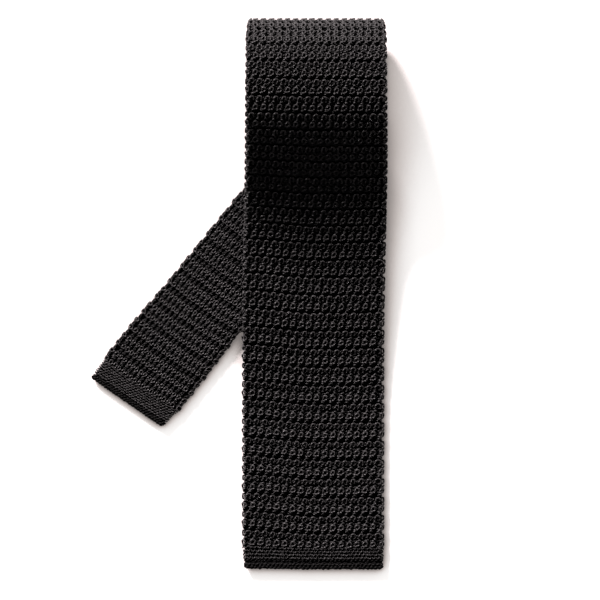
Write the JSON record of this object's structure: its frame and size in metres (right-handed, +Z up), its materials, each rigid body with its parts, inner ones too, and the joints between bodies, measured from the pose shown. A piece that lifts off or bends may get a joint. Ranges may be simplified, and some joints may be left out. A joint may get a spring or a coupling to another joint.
{
  "type": "knitted necktie",
  "caption": "Square-ended knitted necktie, folded for display: front blade wrapped round the stacked neck and laid straight, narrow tail slanting out beneath",
  "frame": {"origin": "middle of the flat face that the roll rests on, at table height", "axes": "+Z up, +Y along the front blade towards the rolled end, +X across the front blade"},
  "size_m": [0.1247, 0.2366, 0.03],
  "materials": {
    "knit": "black silk yarn, knitted in raised courses",
    "knit_plain": "black silk yarn, close plain knit",
    "tape": "woven cotton tape",
    "thread": "black sewing thread",
    "label": "blank black satin ribbon"
  },
  "bodies": {
    "bundle": {"under_lap": "knit", "neck_folds": "knit", "neck_stay_tape": "tape"},
    "nose_lower": {"nose_lower_panel": "knit"},
    "nose_middle": {"nose_middle_panel": "knit"},
    "nose_upper": {"nose_upper_panel": "knit"},
    "front_top": {"front_top_panel": "knit"},
    "front_slope": {"front_slope_panel": "knit"},
    "front_mid": {"front_mid_panel": "knit", "keeper_label": "label", "keeper_stitches": "thread", "care_label_stitches": "thread"},
    "front_blade": {"front_blade_panel": "knit", "front_hem": "knit_plain", "front_hem_thread": "thread"},
    "tail": {"tail_panel": "knit"},
    "tail_tip": {"tail_tip_panel": "knit", "tail_hem": "knit_plain", "tail_hem_thread": "thread"},
    "care_label": {"care_label": "label"}
  },
  "joints": [
    {"name": "front_unroll", "type": "hinge", "parent": "bundle", "child": "nose_lower", "pos_m": [0, 0.01621, 0], "axis": [-1, 0, 0], "range_deg": [0, 45]},
    {"name": "nose_middle_bend", "type": "hinge", "parent": "nose_lower", "child": "nose_middle", "pos_m": [0, 0.025, 0.00879], "axis": [-1, 0, 0], "range_deg": [0, 45]},
    {"name": "nose_upper_bend", "type": "hinge", "parent": "nose_middle", "child": "nose_upper", "pos_m": [0, 0.025, 0.02121], "axis": [-1, 0, 0], "range_deg": [0, 45]},
    {"name": "front_top_bend", "type": "hinge", "parent": "nose_upper", "child": "front_top", "pos_m": [0, 0.01621, 0.03], "axis": [-1, 0, 0], "range_deg": [0, 45]},
    {"name": "front_slope_bend", "type": "hinge", "parent": "front_top", "child": "front_slope", "pos_m": [0, -0.022, 0.03], "axis": [-1, 0, 0], "range_deg": [0, 26.25]},
    {"name": "front_mid_bend", "type": "hinge", "parent": "front_slope", "child": "front_mid", "pos_m": [0, -0.05713, 0.00949], "axis": [-1, 0, 0], "range_deg": [-19.01, 0]},
    {"name": "front_foot_bend", "type": "hinge", "parent": "front_mid", "child": "front_blade", "pos_m": [0, -0.13181, 0], "axis": [-1, 0, 0], "range_deg": [-7.44, 0]},
    {"name": "tail_swing", "type": "hinge", "parent": "bundle", "child": "tail", "pos_m": [0, -0.04, 0], "axis": [0, 0, -1], "range_deg": [0, 20]},
    {"name": "tail_tip_lift", "type": "hinge", "parent": "tail", "child": "tail_tip", "pos_m": [-0.04657, -0.09751, 0.0026], "axis": [-0.7771, 0.6293, 0], "range_deg": [0, 110]},
    {"name": "care_label_flap", "type": "hinge", "parent": "front_mid", "child": "care_label", "pos_m": [0.015, -0.0658, 0.00808], "axis": [1, 0, 0], "range_deg": [0, 9]}
  ],
  "couplings": [
    {"joint": "nose_middle_bend", "follows": "front_unroll", "ratio": 1},
    {"joint": "nose_upper_bend", "follows": "front_unroll", "ratio": 1},
    {"joint": "front_top_bend", "follows": "front_unroll", "ratio": 1},
    {"joint": "front_slope_bend", "follows": "front_unroll", "ratio": 0.579},
    {"joint": "front_mid_bend", "follows": "front_unroll", "ratio": -0.4181},
    {"joint": "front_foot_bend", "follows": "front_unroll", "ratio": -0.1609}
  ]
}
